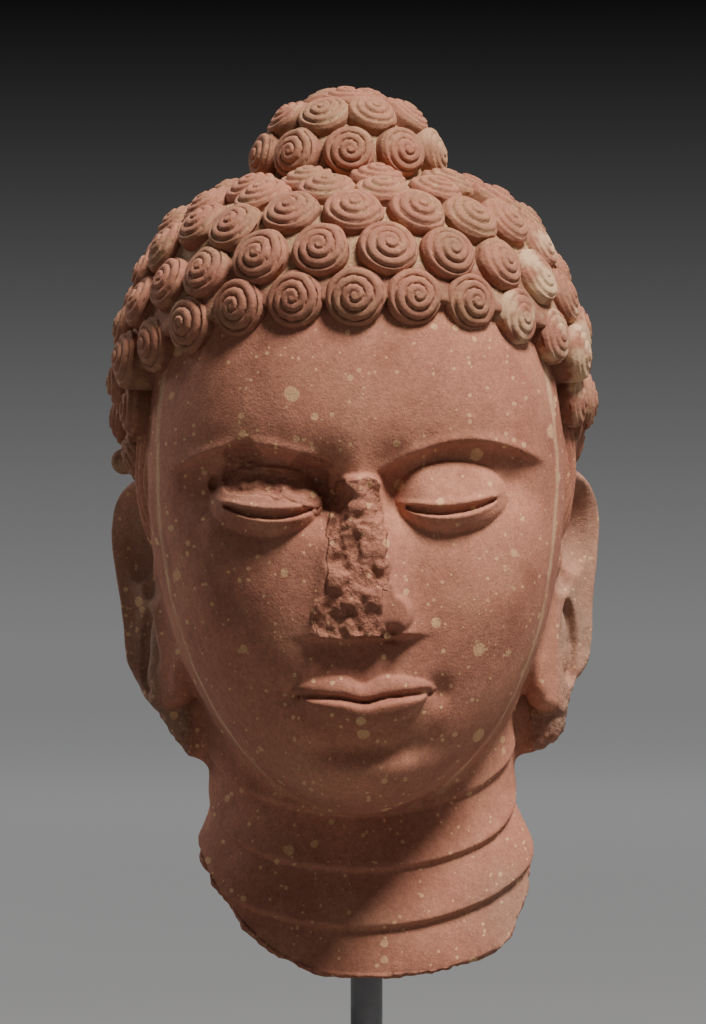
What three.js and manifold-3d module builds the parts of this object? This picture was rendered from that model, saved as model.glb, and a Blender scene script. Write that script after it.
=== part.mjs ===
// A sandstone head with snail-shell curls and a topknot, broken off at the neck,
// held up by a steel rod that stands in a square steel foot.
// Millimetres, +Z up, the face looks towards -Y. The origin is the centre of the foot's underside.
import * as THREE from "three";
import { ConvexGeometry } from "three/addons/geometries/ConvexGeometry.js";
import { mergeVertices } from "three/addons/utils/BufferGeometryUtils.js";
import Module from "manifold-3d";

const wasm = await Module();
wasm.setup();

// Driving sizes in millimetres
const HEAD_HEIGHT = 305;
const HEAD_ROLL_DEG = 1.3;
const ROD_DIAMETER = 11;
const ROD_SHOWING = 60;
const SOCKET_DEPTH = 58;
const SOCKET_CLEARANCE = 0.4;
const TOUCH_GAP = 0.3;
const FOOT_WIDTH = 160;
const FOOT_THICKNESS = 12;
const FOOT_BEVEL = 1.5;
const ROD_SEAT_DEPTH = 8;

// The head is drawn in parts of its own height, 305 from the break at the neck to the top of the hair.
const PARTS_HIGH = 305;
const part = HEAD_HEIGHT / PARTS_HIGH;

// The hair, in those parts
const HAIRLINE_Z = 224;
const KNOT_FOOT_Z = 268;
const CURL_PITCH = 19.5;
const CURL_RADIUS = 10.1;
const CURL_HEIGHT = 7.4;
const CURL_SINK = 5;
const KNOT_CURL_SCALE = 0.92;
const CURL_SIDES = 6;

// Surface steps smaller than this are left out of the solid, in millimetres
const FINEST = 0.1;

// The big forms: ellipsoids by centre and half-axes, with a second half-axis towards the back
const SKULL = { centre: [0, 6, 206], half: [78, 90, 65.5], back: 88 };
const NAPE = { centre: [0, 22, 162], half: [70, 66, 72], back: 66 };
const KNOT = { centre: [0, 4, 275], half: [29.5, 29.5, 24], back: 29.5 };

// The face: a calm one on the usual thirds. All of it follows from the chin's height and the head's own height.
const CHIN_Z = 56;
const FACE_SPAN = 210;
const EYE_Z = CHIN_Z + FACE_SPAN / 2;
const BROW_Z = CHIN_Z + (FACE_SPAN * 2) / 3.5;
const NOSE_Z = CHIN_Z + FACE_SPAN / 3.5;
const MOUTH_Z = NOSE_Z - FACE_SPAN / 10.5;
const FACE_HALF_WIDTH = 71.5;
const EYE_WIDTH = (2 * 75) / 5;
const EYE_X = EYE_WIDTH;
const NOSE_HALF_WIDTH = EYE_WIDTH / 2;
const MOUTH_HALF_WIDTH = 24;

// The neck
const NECK_Y = 8;
const NECK_HALF_WIDTH = 51.5;
const NECK_FOLD = 17;
const NECK_FOLD_DEPTH = 2.4;
const NECK_FOLD_SLOPE = 0.56;
const NECK_FRONT = -52;
const ROD_Y = 5;

// Mathematics shared by the forms

const clamp01 = (t) => Math.min(1, Math.max(0, t));

function smoothStep(from, to, value) {
  const t = clamp01((value - from) / (to - from));
  return t * t * (3 - 2 * t);
}

function smoothMin(a, b, blend) {
  const h = Math.max(blend - Math.abs(a - b), 0) / blend;
  return Math.min(a, b) - (h * h * blend) / 4;
}

const bump = (x, z, wide, high) => Math.exp(-((x / wide) ** 2) - (z / high) ** 2);

// Signed distance to an ellipsoid, close enough near its surface
function ellipsoid([x, y, z], { centre, half, back }) {
  const dx = x - centre[0];
  const dy = y - centre[1];
  const dz = z - centre[2];
  const deep = dy > 0 ? back : half[1];
  const near = Math.hypot(dx / half[0], dy / deep, dz / half[2]);
  const steep = Math.hypot(dx / half[0] ** 2, dy / deep ** 2, dz / half[2] ** 2);
  return steep < 1e-9 ? -Math.min(...half) : (near * (near - 1)) / steep;
}

// The skull under the hair, with the topknot
function scalp(p) {
  const skull = smoothMin(ellipsoid(p, SKULL), ellipsoid(p, NAPE), 14);
  return smoothMin(skull, ellipsoid(p, KNOT), 7);
}

// How low the hair hangs: over the forehead, down the temples, above the ears and behind them to the nape
function hairEdge(y) {
  const temple = 10 * smoothStep(-84, -36, y) + 17 * smoothStep(-42, -12, y);
  return HAIRLINE_Z - temple - 25 * smoothStep(-16, -2, y) - 68 * smoothStep(16, 52, y);
}

const hairCap = (p) => Math.max(scalp(p), hairEdge(p[1]) - p[2]);

// The front of the head: an oval seen from the front, and a nearly upright profile
const OVAL_Z = 175;
const OVAL_DOWN = OVAL_Z - CHIN_Z + 0.5;
const OVAL_UP = 95;
const OVAL_DEPTH = 84;
const OVAL_BACK = 62;

function ovalHalfWidth(z) {
  const t = z < OVAL_Z ? (OVAL_Z - z) / OVAL_DOWN : (z - OVAL_Z) / OVAL_UP;
  return FACE_HALF_WIDTH * Math.max(0, 1 - t ** 2.1) ** (1 / 2.1);
}

function ovalDepth(z) {
  const below = z < OVAL_Z;
  const t = below ? (OVAL_Z - z) / OVAL_DOWN : (z - OVAL_Z) / OVAL_UP;
  const power = below ? 6 : 2.2;
  return OVAL_DEPTH * Math.max(0, 1 - t ** power) ** (1 / power);
}

function faceOval([x, y, z]) {
  if (z <= OVAL_Z - OVAL_DOWN || z >= OVAL_Z + OVAL_UP) return 60;
  const deep = ovalDepth(z) * (y < 0 ? 1 : OVAL_BACK / OVAL_DEPTH);
  const ratio = ((Math.abs(x) / ovalHalfWidth(z)) ** 2.3 + (Math.abs(y) / deep) ** 2.3) ** (1 / 2.3);
  return Math.hypot(x, y) * (1 - 1 / Math.max(ratio, 0.05));
}

// The neck, which spreads towards the shoulders, with folds that hang lower in front
function neckHalves(z) {
  return [NECK_HALF_WIDTH + 5.5 * smoothStep(62, 38, z), 56 + 8 * smoothStep(70, 5, z)];
}

function neck([x, y, z]) {
  const [halfWidth, halfDepth] = neckHalves(z);
  const radial = Math.hypot(x / halfWidth, (y - NECK_Y) / halfDepth);
  const along = z + NECK_FOLD_SLOPE * (y - NECK_FRONT);
  const fold = Math.abs(Math.sin((Math.PI * along) / NECK_FOLD)) ** 0.6 - 0.6;
  const front = smoothStep(45, 0, y);
  const tube = (radial - 1) * halfWidth - NECK_FOLD_DEPTH * front * fold;
  return Math.max(tube, z - 120);
}

// The broken underside of the neck: how low the stone reaches at each place
function breakHeight(x, y) {
  const lowest = 14;
  const side = x < lowest ? (lowest - x) / 71 : (x - lowest) / 44;
  const rim = 42 * side ** (x < lowest ? 3.6 : 5.5);
  return rim + 0.16 * (y + 60);
}

// Carving of the face, as height above the plain oval, seen from the front

function browLine(x) {
  const t = (Math.abs(x) - 7) / 55;
  return BROW_Z - 8 + 11.5 * Math.sin(Math.PI * clamp01(t * 0.78 + 0.08)) ** 1.1;
}

function eyeRelief(x, z) {
  const across = Math.abs(x) - EYE_X;
  const socket = -6.5 * bump(across, z - EYE_Z - 3, 19, 12);
  const corner = -5.5 * bump(Math.abs(x) - 11, z - EYE_Z - 3, 7, 12);
  const round = 1 - (across / 18.5) ** 2 - ((z - EYE_Z) / 11) ** 2;
  const ball = 7.5 * Math.sqrt(Math.max(0, round));
  const slit = -2.2 * bump(across, z - EYE_Z + 4 - 0.012 * across ** 2, 14, 1.9);
  return socket + corner + ball + slit;
}

function browRelief(x, z) {
  const above = z - browLine(x);
  const reach = smoothStep(66, 54, Math.abs(x));
  return reach * (1.6 * Math.exp(-((above / 3) ** 2)) - 1.8 * smoothStep(1, -4, above) * smoothStep(-24, -8, above));
}

function noseRelief(x, z) {
  const up = clamp01((z - NOSE_Z) / (BROW_Z - 8 - NOSE_Z));
  const bridge = (15 - 11.5 * up ** 0.8) * Math.exp(-((Math.abs(x) / (11 - 4.5 * up)) ** 2.6));
  const wing = 8 * Math.sqrt(Math.max(0, 1 - ((Math.abs(x) - 9.5) / 6) ** 2 - ((z - NOSE_Z - 6.5) / 7.5) ** 2));
  const whole = Math.max(bridge, wing) * smoothStep(NOSE_Z - 2, NOSE_Z + 1.5, z) * (up < 1 ? 1 : 0);
  const broken = Math.min(whole, 7.5 - 3 * smoothStep(2, -14, x));
  return x < 6 ? broken : Math.min(whole, 7.5 + 1.2 * (x - 6));
}

function mouthRelief(x, z) {
  const reach = clamp01(1 - (x / MOUTH_HALF_WIDTH) ** 2);
  const parting = MOUTH_Z + 1.6 * (x / MOUTH_HALF_WIDTH) ** 2 - 1.2 * Math.exp(-((x / 6) ** 2));
  const up = z - parting;
  const muzzle = 4 * bump(x, z - MOUTH_Z - 2, 30, 22);
  const upper = up > 0 ? Math.sqrt(Math.max(0, 1 - (up / 7) ** 2)) : 0;
  const lower = up <= 0 ? Math.sqrt(Math.max(0, 1 - (up / 9.5) ** 2)) : 0;
  const lips = (4 * upper + 4.8 * lower) * Math.sqrt(reach);
  const seam = -2.6 * Math.exp(-((up / 1.6) ** 2)) * smoothStep(-0.1, 0.2, reach);
  return muzzle + lips + seam;
}

function relief(x, z) {
  const chin = 5.5 * bump(x, z - CHIN_Z - 13, 19, 12);
  const dip = -3.2 * bump(x, z - MOUTH_Z + 16, 22, 5.5);
  const cheeks = 2.6 * bump(Math.abs(x) - 38, z - NOSE_Z - 10, 22, 22);
  return eyeRelief(x, z) + browRelief(x, z) + noseRelief(x, z) + mouthRelief(x, z) + chin + dip + cheeks;
}

// The stone without curls and ears: negative inside
function stone(p) {
  const [x, y, z] = p;
  const front = smoothStep(-18, -52, y);
  const carved = faceOval(p) - (front > 0 ? front * relief(x, z) : 0);
  const body = smoothMin(smoothMin(carved, neck(p), 7), hairCap(p), 3);
  return Math.max(body, breakHeight(x, y) - z);
}

// Where a line from a place inside leaves the stone for the last time
const REACH = 175;
const STRIDE = 2.5;

function surfaceFrom(inside, direction, form) {
  const at = (t) => inside.map((c, i) => c + direction[i] * t);
  let outer = REACH;
  while (outer > 0 && form(at(outer)) > 0) outer -= STRIDE;
  let inner = outer;
  outer += STRIDE;
  for (let halving = 0; halving < 24; halving++) {
    const middle = (inner + outer) / 2;
    if (form(at(middle)) > 0) outer = middle;
    else inner = middle;
  }
  return at(inner);
}

function normalAt(p, form) {
  const step = 0.5;
  const slope = [0, 1, 2].map((axis) => {
    const ahead = [...p];
    const behind = [...p];
    ahead[axis] += step;
    behind[axis] -= step;
    return form(ahead) - form(behind);
  });
  return new THREE.Vector3(...slope).normalize();
}

// Closed shapes as solids that can be joined and cut, and back again

function solidOf(geometry) {
  const bare = geometry.index ? geometry.toNonIndexed() : geometry.clone();
  for (const name of Object.keys(bare.attributes)) if (name !== "position") bare.deleteAttribute(name);
  const merged = mergeVertices(bare, 1e-4);
  return new wasm.Manifold(
    new wasm.Mesh({
      numProp: 3,
      vertProperties: new Float32Array(merged.attributes.position.array),
      triVerts: new Uint32Array(merged.index.array),
    }),
  );
}

function geometryOf(solid) {
  const mesh = solid.getMesh();
  const geometry = new THREE.BufferGeometry();
  geometry.setAttribute("position", new THREE.BufferAttribute(mesh.vertProperties, mesh.numProp));
  geometry.setIndex(new THREE.BufferAttribute(mesh.triVerts, 1));
  geometry.computeVertexNormals();
  return geometry;
}

// The stone's skin: places along the lines of the carving, and coarser elsewhere, joined by the net of nearest
// neighbours that the hull of their directions gives, then moved out to the surface
const MIDDLE = [0, 6, 150];
const FACE_STEP = EYE_WIDTH / 8;
const FACE_REACH = 0.84;
const AROUND = 26;

function faceRows() {
  const level = (height) => () => height;
  const fine = [
    ...[-10, -6, -2.5, 0, 2.5, 6, 10, 15].map((up) => level(MOUTH_Z + up)),
    ...[-0.5, 2, 6, 11, 17, 24].map((up) => level(NOSE_Z + up)),
    ...[-12, -9, -6, -3.8, -1.5, 2.5, 7].map((up) => level(EYE_Z + up)),
    ...[-4.5, -1, 2].map((up) => (x) => browLine(x) + up),
  ];
  const coarse = [
    ...[4, 9, 14, 19].map((up) => level(CHIN_Z + up)),
    level(MOUTH_Z - 16),
    level(NOSE_Z + 20),
    ...[7, 14, 23, 33, 43].map((up) => (x) => browLine(x) + up),
  ];
  return [...fine.map((z) => ({ z, step: FACE_STEP })), ...coarse.map((z) => ({ z, step: FACE_STEP * 1.6 }))];
}

function sampleDirections() {
  const directions = [];
  const towards = (x, y, z) => {
    directions.push(new THREE.Vector3(x - MIDDLE[0], y - MIDDLE[1], z - MIDDLE[2]).normalize());
  };
  for (const { z, step } of faceRows()) {
    for (let x = -Math.floor(62 / step) * step; x < 62; x += step) {
      if (Math.abs(x) < FACE_REACH * ovalHalfWidth(z(x))) towards(x, -OVAL_DEPTH, z(x));
    }
  }
  const ring = (count, radiusX, radiusY, z, keep) => {
    for (let i = 0; i < count; i++) {
      const angle = (2 * Math.PI * (i + 0.37)) / count;
      const x = radiusX * Math.sin(angle);
      const y = NECK_Y - radiusY * Math.cos(angle);
      if (keep(x, y)) towards(x, y, z);
    }
  };
  const neckRing = (count, share, height, keep) => {
    for (let i = 0; i < count; i++) {
      const angle = (2 * Math.PI * (i + 0.5)) / count;
      let [x, y, z] = [0, NECK_FRONT, 0];
      for (let pass = 0; pass < 4; pass++) {
        const [halfWidth, halfDepth] = neckHalves(z);
        x = share * halfWidth * Math.sin(angle);
        y = NECK_Y - share * halfDepth * Math.cos(angle);
        z = height(x, y);
      }
      if (keep(x, y, z)) towards(x, y, z);
    }
  };
  const everywhere = () => true;
  const onNeck = (x, y, z) => z > breakHeight(x, y) + 3 && z < 58;
  for (let half = 1; half < 15; half++) {
    neckRing(AROUND, 1, (x, y) => (half * NECK_FOLD) / 2 - NECK_FOLD_SLOPE * (y - NECK_FRONT), onNeck);
  }
  for (const share of [0.35, 0.7, 0.99]) {
    neckRing(Math.round(AROUND * share), share, breakHeight, everywhere);
  }
  const besideFace = (x, y) => y > -20 || Math.abs(x) > 52;
  for (let z = 60; z < 190; z += 13) ring(AROUND, 74, 78, z, besideFace);
  for (const z of [194, 208, 222]) ring(AROUND, 77, 84, z, (x, y) => y > -40 || z > 200);
  for (const [z, width] of [[236, 66], [250, 52], [260, 38]]) ring(20, width, width + 8, z, everywhere);
  for (const [z, width] of [[268, 32], [282, 30], [294, 18]]) ring(12, width, width, z, everywhere);
  towards(0, 5, 300);
  return directions;
}

function skin() {
  const net = new ConvexGeometry(sampleDirections());
  net.deleteAttribute("normal");
  const geometry = mergeVertices(net, 1e-6);
  const places = geometry.attributes.position;
  for (let i = 0; i < places.count; i++) {
    const direction = [places.getX(i), places.getY(i), places.getZ(i)];
    places.setXYZ(i, ...surfaceFrom(MIDDLE, direction, stone));
  }
  return solidOf(geometry);
}

// Curls on the topknot in rings, by how many there are and how far down from its top they sit
const KNOT_RINGS = [[3, 19], [8, 53], [10, 84]];

function knotCurls() {
  return KNOT_RINGS.flatMap(([count, fromTop], row) => Array.from({ length: count }, (unused, i) => {
    const down = THREE.MathUtils.degToRad(fromTop);
    const angle = (2 * Math.PI * (i + row / 2)) / count;
    const direction = [Math.sin(down) * Math.sin(angle), -Math.sin(down) * Math.cos(angle), Math.cos(down)];
    return surfaceFrom(KNOT.centre, direction, scalp);
  }));
}

// The row along the hairline, then the three rows above it, each half a curl aside from the last
const ROW_TURN = THREE.MathUtils.degToRad(15);
const FRONT_ROWS = [
  { z: 242.5, radius: 80, turns: [-2.5, -1.5, -0.5, 0.5, 1.5, 2.5] },
  { z: 254, radius: 76, turns: [-2, -1, 0, 1, 2] },
  { z: 262.5, radius: 70, turns: [-1.5, -0.5, 0.5, 1.5] },
];

function hairlineCurls() {
  const [x, y] = SKULL.centre;
  return [-5, -4, -3, -2, -1, 0, 1, 2, 3, 4, 5].map((turn) => {
    const across = Math.sin(turn * ROW_TURN);
    const ahead = -Math.cos(turn * ROW_TURN);
    const z = hairEdge(y + ahead * SKULL.half[1]) + 0.75 * CURL_RADIUS;
    return surfaceFrom([x, y, z], [across * SKULL.half[0], ahead * SKULL.half[1], 0].map((c) => c / 90), scalp);
  });
}

function frontCurls() {
  return FRONT_ROWS.flatMap(({ z, radius, turns }) => turns.map((turn) => {
    const x = radius * Math.sin(turn * ROW_TURN);
    return surfaceFrom([x, SKULL.centre[1], z - 0.0016 * x * x], [0, -1, 0], scalp);
  }));
}

// Candidates run over the whole scalp; a curl goes to the lowest free place above the hairline, row after row
const CANDIDATES = 9000;
const CLOSEST = 0.93;
const EASING_ROUNDS = 40;

function onScalp([x, y, z]) {
  const from = SKULL.centre;
  const direction = new THREE.Vector3(x - from[0], y - from[1], z - from[2]).normalize().toArray();
  return surfaceFrom(from, direction, scalp);
}

const apart = (a, b) => Math.hypot(a[0] - b[0], a[1] - b[1], a[2] - b[2]);
const aboveEdge = (p) => p[2] - hairEdge(p[1]) - 0.75 * CURL_RADIUS;

function scalpCandidates() {
  const found = [];
  const goldenAngle = Math.PI * (3 - Math.sqrt(5));
  for (let i = 0; i < CANDIDATES; i++) {
    const up = 1 - (1.75 * (i + 0.5)) / CANDIDATES;
    const flat = Math.sqrt(1 - up * up);
    const angle = i * goldenAngle + 0.3;
    const direction = [flat * Math.sin(angle), -flat * Math.cos(angle), up];
    const p = surfaceFrom(SKULL.centre, direction, scalp);
    const above = aboveEdge(p);
    if (above > 0 && p[2] < KNOT_FOOT_Z) found.push({ p, above });
  }
  return found.sort((a, b) => a.above - b.above).map((c) => c.p);
}

function placeCurls() {
  const fixed = [...knotCurls(), ...hairlineCurls(), ...frontCurls()];
  const placed = [...fixed];
  for (const p of scalpCandidates()) {
    if (placed.every((q) => apart(p, q) > CLOSEST * CURL_PITCH)) placed.push(p);
  }
  for (let round = 0; round < EASING_ROUNDS; round++) {
    for (let i = fixed.length; i < placed.length; i++) {
      const p = placed[i];
      const push = [0, 0, 0];
      placed.forEach((q, j) => {
        const gap = apart(p, q);
        if (j === i || gap > 1.15 * CURL_PITCH) return;
        const share = (0.25 * (1.15 * CURL_PITCH - gap)) / gap;
        for (let axis = 0; axis < 3; axis++) push[axis] += share * (p[axis] - q[axis]);
      });
      const moved = onScalp(p.map((c, axis) => c + push[axis]));
      if (aboveEdge(moved) > 0) placed[i] = moved;
    }
  }
  return placed;
}

function curlSolid(place, index) {
  const size = place[2] > KNOT_FOOT_Z ? KNOT_CURL_SCALE : 1;
  const radius = CURL_RADIUS * size * 0.97;
  const profile = [
    [0, -CURL_SINK],
    [radius, -CURL_SINK],
    [radius, 0.5 * CURL_HEIGHT * size],
    [0, CURL_HEIGHT * size],
  ].map(([r, h]) => new THREE.Vector2(r, h));
  const shape = new THREE.LatheGeometry(profile, CURL_SIDES);
  const up = new THREE.Vector3(0, 1, 0);
  shape.rotateY(index * 2.4);
  shape.applyQuaternion(new THREE.Quaternion().setFromUnitVectors(up, normalAt(place, scalp)));
  shape.translate(...place);
  return solidOf(shape);
}

// The ears: a plate that leans out and back from the side of the head, with a hollow, a knob and a slit lobe
const EAR_ROOT = [63, 0];
const EAR_LEAN = Math.atan2(32, 20);
const EAR_THICKNESS = 8.5;
const EAR_OUTLINE = [[-8, 160], [6, 170], [22, 172], [35, 166], [40.5, 154], [38.5, 140], [34, 124], [31.5, 103]];
const LOBE_END = { left: [[22, 94], [12, 88], [-8, 96]], right: [[24, 96], [14, 84], [-8, 92]] };
const EAR_HOLLOWS = [
  { centre: [22, 148, 5], half: [10, 15, 8] },
  { centre: [13, 134, 6], half: [7, 9, 9] },
  { centre: [17, 110, 4], half: [5.5, 12.5, 9] },
];
const EAR_KNOB = { centre: [3, 138, 3.5], half: [5, 6.5, 5] };

function ball({ centre, half }, rough) {
  const shape = new THREE.SphereGeometry(1, rough, Math.round(rough * 0.6));
  shape.scale(...half);
  shape.translate(...centre);
  return solidOf(shape);
}

function ear(side) {
  const corners = [...EAR_OUTLINE, ...LOBE_END[side < 0 ? "left" : "right"]];
  const outline = new THREE.Shape(corners.map(([u, v]) => new THREE.Vector2(u, v)));
  const plate = new THREE.ExtrudeGeometry(outline, {
    depth: EAR_THICKNESS - 4,
    bevelThickness: 2,
    bevelSize: 2,
    bevelOffset: -2,
    bevelSegments: 1,
  });
  plate.translate(0, 0, -EAR_THICKNESS / 2);
  let solid = solidOf(plate).add(ball(EAR_KNOB, 6));
  for (const hollow of EAR_HOLLOWS) solid = solid.subtract(ball(hollow, 9));
  const across = new THREE.Vector3(Math.cos(EAR_LEAN) * side, Math.sin(EAR_LEAN), 0);
  const outwards = new THREE.Vector3(Math.sin(EAR_LEAN) * side, -Math.cos(EAR_LEAN), 0);
  const place = new THREE.Matrix4().makeBasis(across, new THREE.Vector3(0, 0, 1), outwards);
  place.setPosition(EAR_ROOT[0] * side, EAR_ROOT[1], 0);
  const shape = geometryOf(solid);
  shape.applyMatrix4(place);
  if (side < 0) shape.index.array.reverse();
  return solidOf(shape);
}

// The rough stone left standing between each lobe and the neck, seen from the front
const WEB_BACK = 40;
const WEB_FRONT = 8;
const WEB = {
  left: [[-40, 75], [-58, 75.5], [-63, 83], [-70, 92], [-74, 104], [-66, 150], [-40, 150]],
  right: [[40, 75], [54, 75.5], [62, 77], [70, 84], [69.5, 98], [73, 106], [66, 150], [40, 150]],
};

function web(side) {
  const corners = WEB[side < 0 ? "left" : "right"];
  const outline = new THREE.Shape(corners.map(([x, z]) => new THREE.Vector2(x, z)));
  const block = new THREE.ExtrudeGeometry(outline, {
    depth: WEB_BACK - WEB_FRONT - 8,
    bevelThickness: 4,
    bevelSize: 4,
    bevelOffset: -4,
    bevelSegments: 1,
  });
  block.rotateX(Math.PI / 2);
  block.translate(0, WEB_BACK - 4, 0);
  return solidOf(block);
}

// The head stands on the rod, rolled a little to its right, with the rod's top in a drilled socket
const headPlace = new THREE.Matrix4()
  .makeTranslation(0, -ROD_Y * part, FOOT_THICKNESS + ROD_SHOWING)
  .multiply(new THREE.Matrix4().makeRotationY(THREE.MathUtils.degToRad(-HEAD_ROLL_DEG)));
const stoneAtRod = breakHeight(0, ROD_Y) * part;
const rodTop = FOOT_THICKNESS + ROD_SHOWING + stoneAtRod + SOCKET_DEPTH;
const rodBottom = FOOT_THICKNESS - ROD_SEAT_DEPTH + TOUCH_GAP;

function upright(radius, from, to, sides) {
  const shape = new THREE.CylinderGeometry(radius, radius, to - from, sides);
  shape.rotateX(Math.PI / 2);
  shape.translate(0, 0, (from + to) / 2);
  return shape;
}

function makeHead() {
  const curls = placeCurls().map(curlSolid);
  const solids = [skin(), ear(-1), ear(1), web(-1), web(1), ...curls];
  const whole = geometryOf(wasm.Manifold.union(solids));
  whole.scale(part, part, part);
  const socket = upright(ROD_DIAMETER / 2 + SOCKET_CLEARANCE, 0, rodTop + TOUCH_GAP, 20);
  socket.applyMatrix4(headPlace.clone().invert());
  return geometryOf(solidOf(whole).subtract(solidOf(socket)).simplify(FINEST));
}

function makeRod() {
  return upright(ROD_DIAMETER / 2, rodBottom, rodTop, 20);
}

function makeFoot() {
  const half = FOOT_WIDTH / 2 - FOOT_BEVEL;
  const square = new THREE.Shape([
    new THREE.Vector2(-half, -half),
    new THREE.Vector2(half, -half),
    new THREE.Vector2(half, half),
    new THREE.Vector2(-half, half),
  ]);
  const plate = new THREE.ExtrudeGeometry(square, {
    depth: FOOT_THICKNESS - FOOT_BEVEL * 2,
    bevelThickness: FOOT_BEVEL,
    bevelSize: FOOT_BEVEL,
    bevelSegments: 1,
  });
  plate.translate(0, 0, FOOT_BEVEL);
  const seat = upright(ROD_DIAMETER / 2 + SOCKET_CLEARANCE, FOOT_THICKNESS - ROD_SEAT_DEPTH, FOOT_THICKNESS + 5, 20);
  return geometryOf(solidOf(plate).subtract(solidOf(seat)));
}

const sandstone = new THREE.MeshStandardMaterial({ color: 0xa8705a, roughness: 0.9, metalness: 0 });
const paintedSteel = new THREE.MeshStandardMaterial({ color: 0x505050, roughness: 0.55, metalness: 0.2 });

function named(name, geometry, material) {
  const mesh = new THREE.Mesh(geometry, material);
  mesh.name = name;
  return mesh;
}

const head = named("head", makeHead(), sandstone);
head.applyMatrix4(headPlace);

const sculpture = new THREE.Group();
sculpture.add(head);
sculpture.add(named("rod", makeRod(), paintedSteel));
sculpture.add(named("foot", makeFoot(), paintedSteel));

export default sculpture;
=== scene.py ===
"""A weathered sandstone head with snail-shell curls, on a steel rod in a square foot.

The stone is drawn as its solid is: in parts of its own height, 305 from the break at the neck to the top
of the hair, with x to the right of someone looking at the face, -y the way the face looks, and z up. Its
forms are signed distances, negative inside the stone, on arrays of places.
"""

import math

import bmesh
import bpy
import numpy as np
import openvdb
from mathutils import Matrix, Vector


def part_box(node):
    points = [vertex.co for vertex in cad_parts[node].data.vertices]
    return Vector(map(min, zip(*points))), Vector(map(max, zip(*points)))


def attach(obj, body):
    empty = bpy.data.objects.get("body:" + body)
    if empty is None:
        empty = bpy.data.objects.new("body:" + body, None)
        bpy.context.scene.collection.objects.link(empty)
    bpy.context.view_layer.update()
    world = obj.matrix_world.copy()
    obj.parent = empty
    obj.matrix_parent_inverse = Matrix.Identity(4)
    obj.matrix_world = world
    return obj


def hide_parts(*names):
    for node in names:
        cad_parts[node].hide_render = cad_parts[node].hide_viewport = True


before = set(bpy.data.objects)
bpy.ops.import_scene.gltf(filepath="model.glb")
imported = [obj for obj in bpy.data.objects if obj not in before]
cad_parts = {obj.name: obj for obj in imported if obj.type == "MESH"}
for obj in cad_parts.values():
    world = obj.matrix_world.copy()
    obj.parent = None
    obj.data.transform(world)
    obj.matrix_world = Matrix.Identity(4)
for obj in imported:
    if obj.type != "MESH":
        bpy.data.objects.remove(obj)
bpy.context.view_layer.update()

# Placing of the head on the rod, in millimetres
HEAD_HEIGHT = 305
HEAD_ROLL_DEG = 1.3
ROD_Y = 5
PARTS_HIGH = 305
MM = 0.001

VOXEL = 0.6
STONE_TRIANGLES = 196000
CURL_RINGS = 36
CURL_SPOKES = 64
BACK_CURL_SHARE = 0.62
FRONT_SPLIT_Y = 14
FRONT_SPLIT_Z = 254

# The hair
HAIRLINE_Z = 224
KNOT_FOOT_Z = 268
CURL_PITCH = 19.5
CURL_RADIUS = 10.3
CURL_RIM = 3.2
CURL_TOP = 6.8
CURL_SINK = 7
CURL_TURNS = 3.35
COIL_HEIGHT = 1.45
COIL_STEP = 0.8
CAP_RISE = 3
EDGE_CURL_TURN = 0.7
EDGE_CURL_SINK = 3.2
SHOULDER_Z = 256
SHOULDER_HEIGHT = 15
SHOULDER = 4.5
SWELL_Z = 178
SWELL_HEIGHT = 15
SWELL = 5.5
KNOT_CURL_SCALE = 0.92

# The big forms: ellipsoids by centre and half-axes, with a second half-axis towards the back
SKULL = ((0, 6, 206), (77.9, 89, 65.5), 87.5)
NAPE = ((0, 22, 162), (70, 66, 72), 66)
KNOT = ((0, 4, 275.3), (29.5, 29.5, 21.9), 29.5)

# The face: a calm one on the usual thirds. All of it follows from the chin's height and the head's own.
CHIN_Z = 56
FACE_SPAN = 210
EYE_Z = CHIN_Z + FACE_SPAN / 2
BROW_Z = CHIN_Z + FACE_SPAN * 2 / 3.5
NOSE_Z = CHIN_Z + FACE_SPAN / 3.5
NOSE_LIMIT = 6.7
MOUTH_Z = NOSE_Z - FACE_SPAN / 10.5
FACE_HALF_WIDTH = 71.5
EYE_WIDTH = 2 * 75 / 5
EYE_X = EYE_WIDTH
MOUTH_HALF_WIDTH = 24
OVAL_Z = 175
OVAL_DOWN = OVAL_Z - CHIN_Z + 0.5
OVAL_UP = 95
OVAL_DEPTH = 84
OVAL_BACK = 62

# The neck
NECK_Y = 8
NECK_HALF_WIDTH = 52.5
NECK_WIDTH_FLARE = 8
NECK_HALF_DEPTH = 49
NECK_DEPTH_FLARE = 9.5
NECK_TOP = 120
NECK_FOLD = 17
NECK_FOLD_Z = 15
NECK_FOLD_DEPTH = 3.1
NECK_FOLD_SLOPE = 0.45
NECK_FRONT = -52
BREAK_MIDDLE = 14
BREAK_LEFT = 75
BREAK_RIGHT = 47
BREAK_RISE = 42
BREAK_SLANT = 0.16


# Mathematics shared by the forms


def smooth_step(start, end, value):
    t = np.clip((value - start) / (end - start), 0, 1)
    return t * t * (3 - 2 * t)


def smooth_min(a, b, blend):
    h = np.maximum(blend - np.abs(a - b), 0) / blend
    return np.minimum(a, b) - h * h * blend / 4


def smooth_max(a, b, blend):
    return -smooth_min(-a, -b, blend)


def bump(x, z, wide, high):
    return np.exp(-((x / wide) ** 2) - (z / high) ** 2)


def dome(x, z, wide, high, power=0.5):
    return np.maximum(1 - (x / wide) ** 2 - (z / high) ** 2, 0) ** power


NOISE_CELLS = 64
NOISE_TABLE = np.random.default_rng(11).uniform(-1, 1, (NOISE_CELLS,) * 3).astype(np.float32)


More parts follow.
